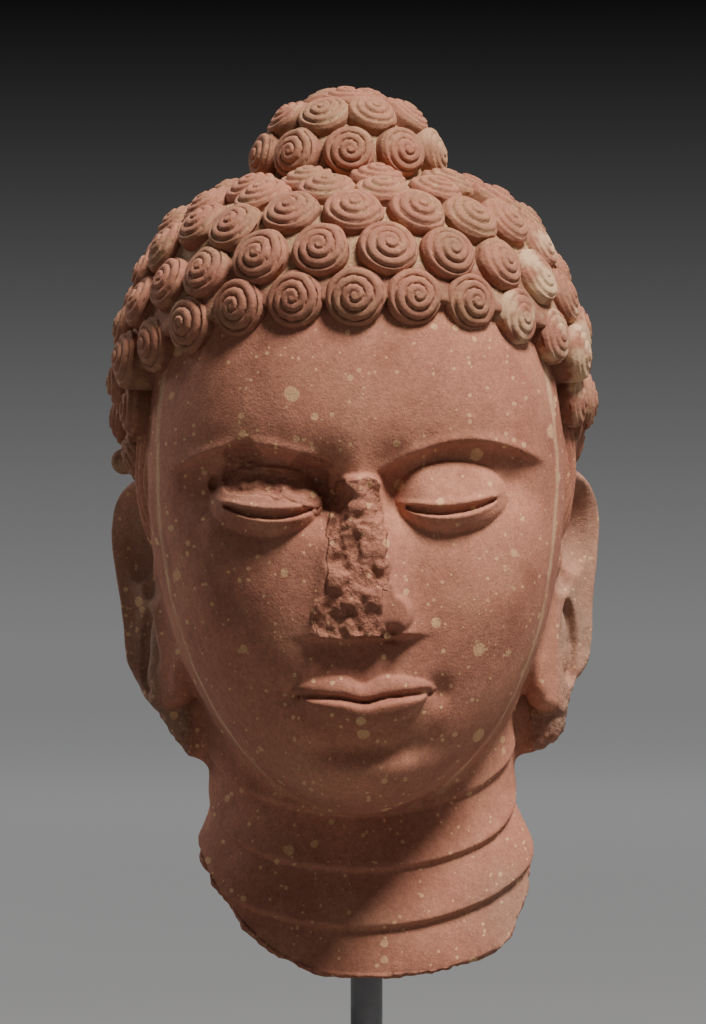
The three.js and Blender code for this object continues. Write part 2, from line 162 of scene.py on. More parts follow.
def noise(x, y, z, size, seed=0):
    """Random values from -1 to 1 that change smoothly over about size."""
    cells = [np.asarray(v, dtype=np.float32) / size + 7.3 * seed for v in (x, y, z)]
    corners = [np.floor(v) for v in cells]
    shares = [smooth_step(0, 1, v - c) for v, c in zip(cells, corners)]
    low = [c.astype(np.int32) % NOISE_CELLS for c in corners]
    high = [(c + 1) % NOISE_CELLS for c in low]
    total = 0
    for ends in np.ndindex(2, 2, 2):
        index = tuple(high[i] if end else low[i] for i, end in enumerate(ends))
        weight = 1
        for share, end in zip(shares, ends):
            weight = weight * (share if end else 1 - share)
        total = total + weight * NOISE_TABLE[index]
    return total


# The hair's mass: skull, nape and topknot, down to the hairline


def ellipsoid(x, y, z, form):
    centre, half, back = form
    dx = x - centre[0]
    dy = y - centre[1]
    dz = z - centre[2]
    deep = np.where(dy > 0, back, half[1])
    near = np.sqrt((dx / half[0]) ** 2 + (dy / deep) ** 2 + (dz / half[2]) ** 2)
    steep = np.sqrt((dx / half[0] ** 2) ** 2 + (dy / deep**2) ** 2 + (dz / half[2] ** 2) ** 2)
    return near * (near - 1) / np.maximum(steep, 1e-6)


def scalp(x, y, z):
    shoulder = SHOULDER * np.exp(-(((z - SHOULDER_Z) / SHOULDER_HEIGHT) ** 2))
    swell = SWELL * np.exp(-(((z - SWELL_Z) / SWELL_HEIGHT) ** 2)) * smooth_step(30, 62, np.abs(x))
    skull = ellipsoid(x, y, z, SKULL) - shoulder - swell
    skull = smooth_min(skull, ellipsoid(x, y, z, NAPE), 14)
    return smooth_min(skull, ellipsoid(x, y, z, KNOT), 7)


def hair_edge(y):
    """How low the hair hangs: over the forehead, down the temples, above the ears and behind them."""
    temple = 10 * smooth_step(-84, -36, y) + 17 * smooth_step(-42, -12, y)
    return HAIRLINE_Z - temple - 25 * smooth_step(-16, -2, y) - 68 * smooth_step(16, 52, y)


def hair_cap(x, y, z):
    return smooth_max(scalp(x, y, z), hair_edge(y) + CAP_RISE - z, 1.5)


# The face and the neck


def oval_half_width(z):
    t = np.where(z < OVAL_Z, (OVAL_Z - z) / OVAL_DOWN, (z - OVAL_Z) / OVAL_UP)
    return FACE_HALF_WIDTH * np.maximum(1 - np.clip(t, 0, 1) ** 2.1, 1e-4) ** (1 / 2.1)


def oval_depth(z):
    below = z < OVAL_Z
    t = np.clip(np.where(below, (OVAL_Z - z) / OVAL_DOWN, (z - OVAL_Z) / OVAL_UP), 0, 1)
    power = np.where(below, 6, 2.2)
    return OVAL_DEPTH * np.maximum(1 - t**power, 1e-4) ** (1 / power)


def face_oval(x, y, z):
    deep = oval_depth(z) * np.where(y < 0, 1, OVAL_BACK / OVAL_DEPTH)
    wide = oval_half_width(z)
    ratio = ((np.abs(x) / wide) ** 2.3 + (np.abs(y) / deep) ** 2.3) ** (1 / 2.3)
    side = np.hypot(x, y) * (1 - 1 / np.maximum(ratio, 0.05))
    ends = np.maximum(OVAL_Z - OVAL_DOWN - z, z - OVAL_Z - OVAL_UP + 4)
    return smooth_max(side, ends, 4)


def neck(x, y, z):
    half_width = NECK_HALF_WIDTH + NECK_WIDTH_FLARE * smooth_step(62, 30, z)
    half_depth = NECK_HALF_DEPTH + NECK_DEPTH_FLARE * smooth_step(62, 5, z)
    radial = np.hypot(x / half_width, (y - NECK_Y) / half_depth)
    up = (z - NECK_FOLD_Z - NECK_FOLD_SLOPE * (y - NECK_FRONT)) / NECK_FOLD
    up = up - np.floor(up)
    fold = (1 - up) * smooth_step(0, 0.2, up) - 0.5
    tube = (radial - 1) * half_width - NECK_FOLD_DEPTH * smooth_step(38, -20, y) * fold
    return np.maximum(tube, z - NECK_TOP)


def break_height(x, y):
    """The broken underside: how low the stone reaches at each place."""
    aside = x - BREAK_MIDDLE
    share = np.where(aside < 0, -aside / BREAK_LEFT, aside / BREAK_RIGHT)
    rim = BREAK_RISE * np.minimum(share, 1.04) ** np.where(aside < 0, 3.6, 5.5)
    return rim + BREAK_SLANT * (y - NECK_FRONT + 4)


# Carving of the face, as height above the plain oval, seen from the front


def brow_line(x):
    t = (np.abs(x) - 7) / 55
    return BROW_Z - 8 + 11.5 * np.sin(np.pi * np.clip(t * 0.78 + 0.08, 0, 0.99)) ** 1.1


def brow_relief(x, z):
    above = z - brow_line(x)
    reach = smooth_step(66, 50, np.abs(x)) * smooth_step(3, 10, np.abs(x))
    ridge = 1.1 * np.exp(-((above / 2.4) ** 2))
    step = -2.6 * smooth_step(0.8, -2.4, above) * smooth_step(-26, -9, above)
    return reach * (ridge + step)


def lid_gap(x):
    """Height of the gap between the lids, and half its opening."""
    across = (np.abs(x) - EYE_X) / (EYE_WIDTH / 2)
    middle = EYE_Z - 4.4 + 2.6 * across**2 + 0.9 * across
    return across, middle, 1.35 * np.sqrt(np.maximum(1 - across**2, 0))


def eye_relief(x, z):
    across, middle, opening = lid_gap(x)
    side = np.abs(x) - EYE_X
    socket = -6.5 * bump(side, z - EYE_Z - 3, 19, 12)
    corner = -5.5 * bump(np.abs(x) - 11, z - EYE_Z - 3, 7, 12)
    ball = 8.2 * dome(side - 0.5, z - EYE_Z - 0.3, 19, 11.8, 0.7)
    reach = smooth_step(1.3, 0.95, np.abs(across))
    upper = 0.9 * smooth_step(-0.4, 0.4, z - middle) * smooth_step(13, 5, z - middle)
    upper_rim = 0.75 * np.exp(-(((z - middle - opening - 1.1) / 0.9) ** 2))
    lower_rim = 0.7 * np.exp(-(((z - middle + opening + 1.1) / 0.9) ** 2))
    gap = -2.2 * smooth_step(0.35, -0.35, np.abs(z - middle) - opening) * (opening > 0)
    return socket + corner + ball + reach * (upper + upper_rim + lower_rim) + gap


def nose_rise(z):
    return np.clip((z - NOSE_Z) / (BROW_Z - 6 - NOSE_Z), 0, 1)


def whole_nose(x, z):
    """The nose before it was broken; only what lies under the break is left."""
    up = nose_rise(z)
    bridge = (17.6 - 13.6 * up**0.8) * np.exp(-((np.abs(x) / (13.5 - 6.5 * up)) ** 2.6))
    wing = 9.5 * dome(np.abs(x) - 10, z - NOSE_Z - 7, 6.8, 8.2)
    foot = smooth_step(NOSE_Z - 1.5, NOSE_Z + 1.2, z)
    return np.maximum(bridge, wing) * foot * smooth_step(1.0, 0.94, up)


def nose_break(x, z):
    """Height of the broken face of the nose; the wing at the right is whole."""
    ragged = 1.3 * noise(x, 0 * x, z, 7, 12) + 0.8 * noise(x, 0 * x, z, 3, 13)
    flat = 2.6 + 4.4 * smooth_step(0.9, 0.1, nose_rise(z)) - 3 * smooth_step(0, -13, x) + ragged
    return np.maximum(flat, 1) + 9 * smooth_step(6.0, 9.0, x + ragged) * smooth_step(19, 12, z - NOSE_Z)


def nose_relief(x, z):
    nostril = -4.5 * bump(x - 9.5, z - NOSE_Z - 1.2, 2.6, 2.2)
    whole = np.minimum(whole_nose(x, z), NOSE_LIMIT)
    return smooth_min(whole, nose_break(x, z), 0.8) + nostril


def mouth_relief(x, z):
    share = x / MOUTH_HALF_WIDTH
    reach = np.maximum(1 - share**2, 0)
    parting = MOUTH_Z + 1.9 * share**2 - 1.5 * np.exp(-((x / 5) ** 2))
    up = z - parting
    tall = 8.0 * reach**0.6 - 1.5 * np.exp(-((x / 3.6) ** 2)) + 0.05
    deep = 10.8 * np.maximum(1 - (x / 21) ** 2, 0) ** 0.6 + 0.05
    upper = np.maximum(1 - (np.maximum(up, 0) / tall) ** 2, 0) ** 0.6 * (up > 0)
    lower = np.maximum(1 - ((np.minimum(up, 0) / deep + 0.25) / 0.75) ** 2, 0) ** 0.6 * (up <= 0)
    lips = (4.4 * upper * reach**0.4 + 6.2 * lower * reach**0.5) * (reach > 0)
    muzzle = 4.2 * bump(x, z - MOUTH_Z - 2, 30, 22)
    seam = -2.8 * np.exp(-((up / 1.2) ** 2)) * smooth_step(0.0, 0.3, reach)
    corners = -2.4 * bump(np.abs(x) - MOUTH_HALF_WIDTH - 1, z - MOUTH_Z - 1.5, 4, 4.5)
    groove = -1.0 * bump(x, z - (MOUTH_Z + NOSE_Z) / 2 - 3, 3.4, 7)
    return lips + muzzle + seam + corners + groove


def relief(x, z):
    chin = 5.5 * bump(x, z - CHIN_Z - 13, 19, 12)
    dip = -4.2 * bump(x, z - MOUTH_Z + 16.5, 20, 5)
    cheeks = 2.8 * bump(np.abs(x) - 38, z - NOSE_Z - 10, 22, 22)
    features = eye_relief(x, z) + brow_relief(x, z) + nose_relief(x, z) + mouth_relief(x, z)
    return features + chin + dip + cheeks - face_chips(x, z)


# Damage to the face: where the surface is broken, and how deep the chips go

LID_CHIPS = [
    (-24, 166, 13, 7),
    (-37, 168, 11, 6),
    (-36, 176, 7, 5),
    (-15, 171, 7, 5),
    (-14, 161, 6, 5),
]
CHIP_DEPTH = 2.5


def chipped(x, z):
    """From 0 on sound stone to 1 inside the chips at the brow and the upper lid."""
    edge = 0.45 * noise(x, 0 * x, z, 6, 4) + 0.2 * noise(x, 0 * x, z, 2.6, 5)
    inside = np.full_like(np.asarray(x, dtype=np.float32), -1)
    for chip_x, chip_z, wide, high in LID_CHIPS:
        across = np.hypot((x - chip_x) / wide, (z - chip_z) / high)
        inside = np.maximum(inside, 1 - across)
    return smooth_step(-0.05, 0.4, inside + edge)


def face_chips(x, z):
    return CHIP_DEPTH * chipped(x, z)


def nose_broken(x, z):
    return smooth_step(0.2, 1.2, whole_nose(x, z) - nose_break(x, z))


# The ears: each is a plate that leans out and back, with a rim, hollows, a knob and a slit lobe

EAR_ROOT = (60.2, 0)
EAR_LEAN = math.atan2(32, 20)
EAR_THICKNESS = 8.5
EAR_BORDER = [(-8, 160), (6, 170), (22, 172), (35, 166), (40.5, 154), (38.5, 140), (34, 124), (31.5, 103)]
LOBE_END = {-1: [(22, 94), (12, 88), (-8, 96)], 1: [(24, 96), (14, 84), (-8, 92)]}
EAR_HOLLOWS = [
    ((22, 6.5, 149), (11, 9, 16)),
    ((13, 7.0, 135), (8, 8.5, 9)),
    ((16.5, 3.5, 110), (6.5, 9.5, 15)),
]
EAR_KNOB = ((3, 3.5, 138), (5, 5, 6.5))


def rounded(corners, rounds=2):
    """The outline with its corners cut off, again and again."""
    for _ in range(rounds):
        after = corners[1:] + corners[:1]
        pairs = [(np.array(a), np.array(b)) for a, b in zip(corners, after)]
        corners = [tuple(a + share * (b - a)) for a, b in pairs for share in (0.25, 0.75)]
    return corners


def polygon(u, v, corners):
    """Signed distance to the outline through corners, negative inside."""
    nearest = np.full_like(u, 1e9)
    inside = np.zeros(u.shape, dtype=bool)
    for (ax, ay), (bx, by) in zip(corners, corners[1:] + corners[:1]):
        along = ((u - ax) * (bx - ax) + (v - ay) * (by - ay)) / ((bx - ax) ** 2 + (by - ay) ** 2)
        along = np.clip(along, 0, 1)
        gap = (u - ax - along * (bx - ax)) ** 2 + (v - ay - along * (by - ay)) ** 2
        nearest = np.minimum(nearest, gap)
        crosses = (ay > v) != (by > v)
        if ay != by:
            inside ^= crosses & (u < (bx - ax) * (v - ay) / (by - ay) + ax)
    return np.sqrt(nearest) * np.where(inside, -1, 1)


def ear(x, y, z, side):
    across = (x * side - EAR_ROOT[0]) * math.cos(EAR_LEAN) + (y - EAR_ROOT[1]) * math.sin(EAR_LEAN)
    outward = (x * side - EAR_ROOT[0]) * math.sin(EAR_LEAN) - (y - EAR_ROOT[1]) * math.cos(EAR_LEAN)
    border = polygon(across, z, rounded(EAR_BORDER + LOBE_END[side]))
    rim = 2.0 * np.exp(-(((border + 3.4) / 2.6) ** 2)) * smooth_step(96, 106, z) * smooth_step(-4, 6, across)
    slab = np.abs(outward - rim / 2) - EAR_THICKNESS / 2 - rim / 2
    plate = smooth_max(border, slab, 4)
    plate = smooth_min(plate, ellipsoid(across, outward, z, (*EAR_KNOB, EAR_KNOB[1][1])), 2)
    for centre, half in EAR_HOLLOWS:
        plate = smooth_max(plate, -ellipsoid(across, outward, z, (centre, half, half[1])), 1.5)
    return plate


# Beside the ears: a tuft of wavy hair in front of each, and a bead of stone above the left one

TUFT_ROOT = (67.5, -4, 176)
TUFT_HALF = (7.5, 12, 30)
TUFT_STRAND = 3.4
TUFT_GROOVE = 1.3
BEAD = ((-79.6, 14, 176), (4.6, 4.6, 4.6), 4.6)


def tuft(x, y, z, side):
    form = (TUFT_ROOT, TUFT_HALF, TUFT_HALF[1])
    strands = np.abs(np.sin(np.pi * (y + 1.6 * np.sin(z / 7)) / TUFT_STRAND))
    return ellipsoid(x * side, y, z, form) - TUFT_GROOVE * (strands - 0.5)


# The rough stone left standing between each lobe and the neck, seen from the front

WEB_MIDDLE = 24
WEB_HALF_DEPTH = 16
WEB = {
    -1: [(-40, 71.5), (-58, 72), (-64, 80), (-70, 90), (-74, 104), (-66, 150), (-40, 150)],
    1: [(40, 71.5), (57, 72), (66, 74), (72, 82), (70.5, 98), (73, 106), (66, 150), (40, 150)],
}


def web(x, y, z, side):
    return smooth_max(polygon(x, z, rounded(WEB[side], 1)), np.abs(y - WEB_MIDDLE) - WEB_HALF_DEPTH, 5)


def stone(x, y, z):
    """The whole stone without its curls."""
    front = smooth_step(-18, -52, y)
    carved = face_oval(x, y, z) - front * relief(x, z)
    body = smooth_min(smooth_min(carved, neck(x, y, z), 7), hair_cap(x, y, z), 2)
    for side in (-1, 1):
        near = (x * side > 33) & (np.abs(y - 14) < 38) & (np.abs(z - 138) < 76)
        place = (x[near], y[near], z[near])
        beside = smooth_min(body[near], web(*place, side), 5)
        beside = smooth_min(beside, ear(*place, side), 3)
        body[near] = smooth_min(beside, tuft(*place, side), 1.5)
    body = smooth_min(body, ellipsoid(x, y, z, BEAD), 1.5)
    return smooth_max(body, break_height(x, y) - z, 2)


# The stone's skin, from a fine grid of distances, filled in only near the surface

GRID_LOW = (-88.0, -96.0, -4.0)
GRID_HIGH = (88.0, 100.0, 304.0)
CELL_SPLIT = 4
CELL_REACH = 5.0
CELLS_AT_ONCE = 20000


def near_cells(low, counts, step, reach):
    """Coarse cells that the surface may cross, and the sign of all the others."""
    axes = [low[i] + step * (np.arange(counts[i]) + 0.5) for i in range(3)]
    x, y, z = np.meshgrid(*axes, indexing="ij")
    coarse = stone(x.ravel(), y.ravel(), z.ravel()).reshape(counts)
    return coarse, np.argwhere(np.abs(coarse) < reach)


def distance_grid():
    low = np.array(GRID_LOW)
    step = VOXEL * CELL_SPLIT
    counts = np.ceil((np.array(GRID_HIGH) - low) / step).astype(int)
    coarse, cells = near_cells(low, counts, step, CELL_REACH)
    band = 3 * VOXEL
    values = np.where(coarse < 0, -1, 1).astype(np.float32) * band
    for axis in range(3):
        values = np.repeat(values, CELL_SPLIT, axis=axis)
    inner = np.array(list(np.ndindex(CELL_SPLIT, CELL_SPLIT, CELL_SPLIT)))
    for first in range(0, len(cells), CELLS_AT_ONCE):
        chosen = cells[first : first + CELLS_AT_ONCE, None, :]
        index = (chosen * CELL_SPLIT + inner[None]).reshape(-1, 3)
        place = low + (index + 0.5) * VOXEL
        found = stone(*place.T.astype(np.float32))
        values[tuple(index.T)] = np.clip(found, -band, band)
    return low, values


def skin_of(low, values):
    grid = openvdb.FloatGrid(3 * VOXEL)
    grid.copyFromArray(values)
    places, _, quads = grid.convertToPolygons(isovalue=0.0, adaptivity=0.0)
    return low + (places + 0.5) * VOXEL, quads


def mesh_from(name, places, faces):
    mesh = bpy.data.meshes.new(name)
    mesh.from_pydata(places.tolist(), [], faces)
    mesh.polygons.foreach_set("use_smooth", np.ones(len(mesh.polygons), dtype=bool))
    mesh.update()
    return mesh


def quad_mesh(name, places, quads):
    """A mesh of four-sided faces, made quickly."""
    mesh = bpy.data.meshes.new(name)
    mesh.vertices.add(len(places))
    mesh.vertices.foreach_set("co", np.asarray(places, dtype=np.float32).ravel())
    mesh.loops.add(quads.size)
    mesh.loops.foreach_set("vertex_index", np.asarray(quads, dtype=np.int32).ravel())
    mesh.polygons.add(len(quads))
    mesh.polygons.foreach_set("loop_start", np.arange(0, quads.size, 4, dtype=np.int32))
    mesh.polygons.foreach_set("use_smooth", np.ones(len(quads), dtype=bool))
    mesh.update(calc_edges=True)
    return mesh


def places_of(mesh):
    flat = np.empty(len(mesh.vertices) * 3, dtype=np.float32)
    mesh.vertices.foreach_get("co", flat)
    return flat.reshape(-1, 3)


def normals_of(mesh):
    flat = np.empty(len(mesh.vertices) * 3, dtype=np.float32)
    mesh.vertex_normals.foreach_get("vector", flat)
    return flat.reshape(-1, 3)


def broken_share(x, y, z):
    """How rough the stone is at each place: 1 on the breaks, 0 on the finished surface."""
    front = smooth_step(-40, -60, y)
    face = front * np.maximum(chipped(x, z), nose_broken(x, z))
    under = smooth_step(3.0, 0.8, z - break_height(x, y))
    behind = smooth_step(125, 105, z) * outside_jaw(x, y, z)
    uneven = z + 9 * noise(x, y, 0 * z, 9, 14)
    lobes = 0.5 * smooth_step(99, 90, uneven) * outside_jaw(x, y, z)
    return np.clip(face + 0.65 * under + 0.3 * behind + lobes, 0, 1)


def outside_jaw(x, y, z):
    """1 on the ears and on the stone left behind them."""
    aside = smooth_step(3, 9, y) * smooth_step(56, 61, np.abs(x))
    return aside * smooth_step(68, 74, z) * smooth_step(178, 170, z)


def roughen(mesh):
    """Tool marks and grain everywhere, and ragged stone on the breaks."""
    places = places_of(mesh)
    x, y, z = places.T
    broken = broken_share(x, y, z)
    ragged = 1.5 * noise(x, y, z, 6.5, 1) + 0.8 * noise(x, y, z, 2.8, 2) + 0.35 * noise(x, y, z, 1.3, 3)
    even = 0.28 * noise(x, y, z, 14, 6) + 0.1 * noise(x, y, z, 4, 7)
    offset = broken * ragged + (1 - broken) * even
    mesh.vertices.foreach_set("co", (places + normals_of(mesh) * offset[:, None]).ravel())
    mesh.update()


def thin_out(mesh, triangles):
    """The same surface with fewer triangles, more of them where it bends."""
    carrier = bpy.data.objects.new("carrier", mesh)
    bpy.context.scene.collection.objects.link(carrier)
    count = sum(len(p.vertices) - 2 for p in mesh.polygons)
    collapse = carrier.modifiers.new("collapse", "DECIMATE")
    collapse.ratio = min(1.0, triangles / count)
    graph = bpy.context.evaluated_depsgraph_get()
    thinned = bpy.data.meshes.new_from_object(carrier.evaluated_get(graph))
    bpy.data.objects.remove(carrier)
    return thinned


def set_attribute(mesh, name, values):
    attribute = mesh.attributes.new(name, "FLOAT", "POINT")
    attribute.data.foreach_set("value", np.asarray(values, dtype=np.float32))


def hollow_share(mesh):
    """How closed in each place is, from how near other stone lies in front of it; the colour darkens with it
    as painted shade.
    """
    places = places_of(mesh)
    normals = normals_of(mesh)
    closed = 0
    for reach in (1.5, 3.5, 7):
        x, y, z = (places + normals * reach).T
        closed = closed + np.clip(1 - stone(x, y, z) / reach, 0, 1) / 3
    return closed


HEAD_PLACE = (
    Matrix.Translation((0, -ROD_Y * HEAD_HEIGHT / PARTS_HIGH * MM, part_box("head")[0][2]))
    @ Matrix.Rotation(math.radians(-HEAD_ROLL_DEG), 4, "Y")
    @ Matrix.Scale(HEAD_HEIGHT / PARTS_HIGH * MM, 4)
)


def stone_piece(name, mesh, material, node="head"):
    mesh.transform(HEAD_PLACE)
    mesh.materials.clear()
    mesh.materials.append(material)
    mesh.polygons.foreach_set("use_smooth", np.ones(len(mesh.polygons), dtype=bool))
    piece = bpy.data.objects.new(name, mesh)
    bpy.context.scene.collection.objects.link(piece)
    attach(piece, "root")
    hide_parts(node)
    return piece


def make_stone(material):
    low, values = distance_grid()
    places, quads = skin_of(low, values)
    mesh = quad_mesh("stone_fine", places, quads)
    roughen(mesh)
    mesh = thin_out(mesh, STONE_TRIANGLES)
    x, y, z = places_of(mesh).T
    hair = smooth_step(-2.5, -0.5, z - hair_edge(y)) * smooth_step(-3, -1, scalp(x, y, z))
    # Painted shade: the hollow attribute darkens closed-in places, and the whole scalp between the curls.
    set_attribute(mesh, "hollow", np.maximum(hollow_share(mesh), hair))
    set_attribute(mesh, "broken", broken_share(x, y, z))
    set_attribute(mesh, "hair", hair)
    set_attribute(mesh, "worn", np.zeros(len(x)))
    rubbed = 0.55 * smooth_step(26, 46, x) * smooth_step(46, 26, z)
    ears = outside_jaw(x, y, z) * (1 - 0.4 * smooth_step(100, 140, z))
    set_attribute(mesh, "grey", np.maximum(ears, rubbed))
    set_attribute(mesh, "crust", hair * (0.3 + 0.7 * smooth_step(232, 250, z)))
    return stone_piece("head_stone", mesh, material)


# Curls: where each grows. The same rule places those of the solid.


def unit(v):
    return v / np.linalg.norm(v, axis=-1, keepdims=True)


def outermost(inside, directions, start=175.0, steps=40):
    """Where lines from a place inside leave the scalp, found by stepping in from start."""
    out = np.full(len(directions), start)
    for _ in range(steps):
        out = out - scalp(*(inside + directions * out[:, None]).T)
    return inside + directions * out[:, None]


def scalp_normals(places, step=0.5):
    slopes = []
    for axis in range(3):
        shift = np.zeros(3)
        shift[axis] = step
        slopes.append(scalp(*(places + shift).T) - scalp(*(places - shift).T))
    return unit(np.stack(slopes, axis=1))


KNOT_RINGS = [(3, 19), (8, 53), (10, 84)]
ROW_TURN = math.radians(15)
HAIRLINE_TURN = math.radians(15.8)
FRONT_ROWS = [
    (238, 77, (-2.5, -1.5, -0.5, 0.5, 1.5, 2.5)),
    (248, 77, (-2, -1, 0, 1, 2)),
    (257.5, 72, (-1.5, -0.5, 0.5, 1.5)),
]
CANDIDATES = 9000
CLOSEST = 0.93
EASING_ROUNDS = 40
EDGE_CURL_RISE = 3.6


def above_edge(places):
    return places[:, 2] - hair_edge(places[:, 1]) - EDGE_CURL_RISE


def knot_curls():
    directions = []
    for row, (count, from_top) in enumerate(KNOT_RINGS):
        down = math.radians(from_top)
        angles = 2 * np.pi * (np.arange(count) + row / 2) / count
        ring = [np.sin(down) * np.sin(angles), -np.sin(down) * np.cos(angles), 0 * angles + np.cos(down)]
        directions.append(np.stack(ring, axis=1))
    return outermost(KNOT[0], np.concatenate(directions))


def hairline_curls():
    turns = np.arange(-5, 6) * HAIRLINE_TURN
    across = SKULL[1][0] * np.sin(turns)
    ahead = -SKULL[1][1] * np.cos(turns)
    height = hair_edge(SKULL[0][1] + ahead) + EDGE_CURL_RISE
    inside = np.stack([0 * across, 0 * across + SKULL[0][1], height], axis=1)
    return outermost(inside, unit(np.stack([across, ahead, 0 * across], axis=1)))


def front_curls():
    inside = []
    for height, radius, turns in FRONT_ROWS:
        x = radius * np.sin(np.array(turns) * ROW_TURN)
        inside.append(np.stack([x, 0 * x + SKULL[0][1], height - 0.0016 * x * x], axis=1))
    inside = np.concatenate(inside)
    return outermost(inside, np.broadcast_to([0.0, -1.0, 0.0], inside.shape))


def free_places():
    """Places all over the scalp, from the hairline up."""
    order = np.arange(CANDIDATES) + 0.5
    up = 1 - 1.75 * order / CANDIDATES
    flat = np.sqrt(1 - up * up)
    angle = (order - 0.5) * np.pi * (3 - math.sqrt(5)) + 0.3
    directions = np.stack([flat * np.sin(angle), -flat * np.cos(angle), up], axis=1)
    places = outermost(SKULL[0], directions)
    above = above_edge(places)
    keep = (above > 0) & (places[:, 2] < KNOT_FOOT_Z)
    return places[keep][np.argsort(above[keep], kind="stable")]


def curl_places():
    fixed = np.concatenate([knot_curls(), hairline_curls()])
    placed = list(np.concatenate([fixed, front_curls()]))
    for place in free_places():
        if np.min(np.linalg.norm(np.array(placed) - place, axis=1)) > CLOSEST * CURL_PITCH:
            placed.append(place)
    placed = np.array(placed)
    for _ in range(EASING_ROUNDS):
        for i in range(len(fixed), len(placed)):
            away = placed[i] - placed
            gap = np.linalg.norm(away, axis=1)
            gap[i] = 1e9
            share = np.maximum(1.15 * CURL_PITCH - gap, 0) * 0.25 / gap
            pushed = placed[i] + (share[:, None] * away).sum(axis=0)
            from_centre = pushed - np.array(SKULL[0])
            far = np.linalg.norm(from_centre)
            moved = outermost(np.array(SKULL[0]), from_centre[None] / far, far, 5)
            if above_edge(moved)[0] > 0:
                placed[i] = moved[0]
    return placed


# Curls: what each looks like. A low shell of one rounded coil that winds up to the middle.


def curl_profile(rings):
    """Stations from the foot of the side wall to the middle: share of the radius, and height on the wall."""
    wall = [(1.0, -CURL_SINK), (1.0, -2.0), (1.0, 0.0), (1.0, 1.2), (0.995, 2.2)]
    shares = 0.985 * (1 - np.linspace(0, 1, rings) ** 1.05)
    return wall, shares


def curl_piece(name, places, numbers, rings, spokes, material):
    """One piece of all the curls at these places; numbers tell them apart."""
    random = np.random.default_rng(5)
    vary = random.uniform(-1, 1, (400, 6))[numbers]
    normals = scalp_normals(places)
    at_edge = smooth_step(7, 1, above_edge(places))
    normals[:, 2] *= 1 - EDGE_CURL_TURN * at_edge * (normals[:, 2] > 0)
    normals = unit(normals + 0.07 * vary[:, 0:3])
    places = places - normals * (EDGE_CURL_SINK * at_edge)[:, None]
    side = unit(np.cross(normals, [0.0, 1.0, 0.3]))
    ahead = np.cross(normals, side)
    worn = wear_at(places)
    size = np.where(places[:, 2] > KNOT_FOOT_Z, KNOT_CURL_SCALE, 1) * (1 + 0.035 * vary[:, 3])

    wall, shares = curl_profile(rings)
    angle = np.linspace(0, 2 * np.pi, spokes, endpoint=False)
    turn = angle / (2 * np.pi)
    edge = 1 - 0.1 * turn + 0.1 * smooth_step(0.9, 1.0, turn)
    s = np.concatenate([[w[0] for w in wall], shares])[None, :, None]
    on_wall = np.arange(len(wall) + rings)[None, :, None] < len(wall)
    start = 2 * np.pi * (vary[:, 4] * 0.12 + 0.6)[:, None, None]
    coil = np.mod(CURL_TURNS * s - turn[None, None, :], 1.0)
    ridge = np.maximum(1 - np.abs(2 * coil - 1) ** 2.6, 0) ** 0.5
    fade = smooth_step(0.02, 0.25, s)
    keep = (1 - 0.75 * worn)[:, None, None]
    top = (CURL_TOP - 1.2 * worn)[:, None, None]
    level = np.clip(s - COIL_STEP * (coil - 0.5) / CURL_TURNS, 0, 1)
    cone = CURL_RIM + (top - CURL_RIM) * (1 - level**1.5)
    rounded = -1.4 * smooth_step(0.86, 1.0, s) ** 2
    height = cone + rounded + COIL_HEIGHT * keep * fade * (ridge - 0.8)
    wall_height = np.concatenate([[w[1] for w in wall], np.zeros(rings)])[None, :, None]
    height = np.where(on_wall, np.minimum(wall_height, height), height)
    radius = CURL_RADIUS * size[:, None, None] * s * edge[None, None, :]
    height = height * size[:, None, None] - radius**2 / 150

    theta = angle[None, None, :] + start
    flat = [radius * np.cos(theta), radius * np.sin(theta)]
    grid = (
        places[:, None, None, :]
        + side[:, None, None, :] * flat[0][..., None]
        + ahead[:, None, None, :] * flat[1][..., None]
        + normals[:, None, None, :] * height[..., None]
    )
    outward = side[:, None, None, :] * np.cos(theta)[..., None]
    outward = outward + ahead[:, None, None, :] * np.sin(theta)[..., None]
    outward = np.where(on_wall[..., None], outward, normals[:, None, None, :])
    gx, gy, gz = grid[..., 0], grid[..., 1], grid[..., 2]
    rough = 0.3 * noise(gx, gy, gz, 6, 8) + 0.12 * noise(gx, gy, gz, 2.2, 9)
    grid = grid + outward * rough[..., None]

    count = len(places)
    stations = grid.shape[1]
    index = np.arange(count * stations * spokes).reshape(count, stations, spokes)
    ahead_index = np.roll(index, -1, axis=2)
    corners = [index[:, :-1], ahead_index[:, :-1], ahead_index[:, 1:], index[:, 1:]]
    quads = np.stack(corners, axis=-1).reshape(-1, 4)
    mesh = quad_mesh(name, grid.reshape(-1, 3), quads)
    groove = (1 - ridge) * keep * fade * ~on_wall
    foot = smooth_step(2.6, 0.2, height) * np.ones_like(theta)
    # Painted shade: the hollow attribute darkens each coil's groove and the low part of each curl's wall.
    set_attribute(mesh, "hollow", np.clip(0.75 * groove + foot, 0, 1).ravel())
    set_attribute(mesh, "broken", np.zeros(index.size))
    set_attribute(mesh, "grey", np.zeros(index.size))
    set_attribute(mesh, "hair", np.ones(index.size))
    crusted = smooth_step(236, 252, places[:, 2]) * (0.6 + 0.4 * vary[:, 5])
    set_attribute(mesh, "crust", (crusted[:, None, None] * groove).ravel())
    set_attribute(mesh, "worn", np.broadcast_to(worn[:, None, None], index.shape).ravel())
    return stone_piece(name, mesh, material)


def wear_at(places):
    """Curls at the right of the forehead and down that side are rubbed smooth."""
    x, y, z = places.T
    right = smooth_step(38, 62, x) * smooth_step(262, 246, z) * smooth_step(62, 10, y)
    knot = 0.5 * smooth_step(8, 26, x) * smooth_step(268, 276, z)
    return np.clip(0.12 + right + knot, 0, 0.9)


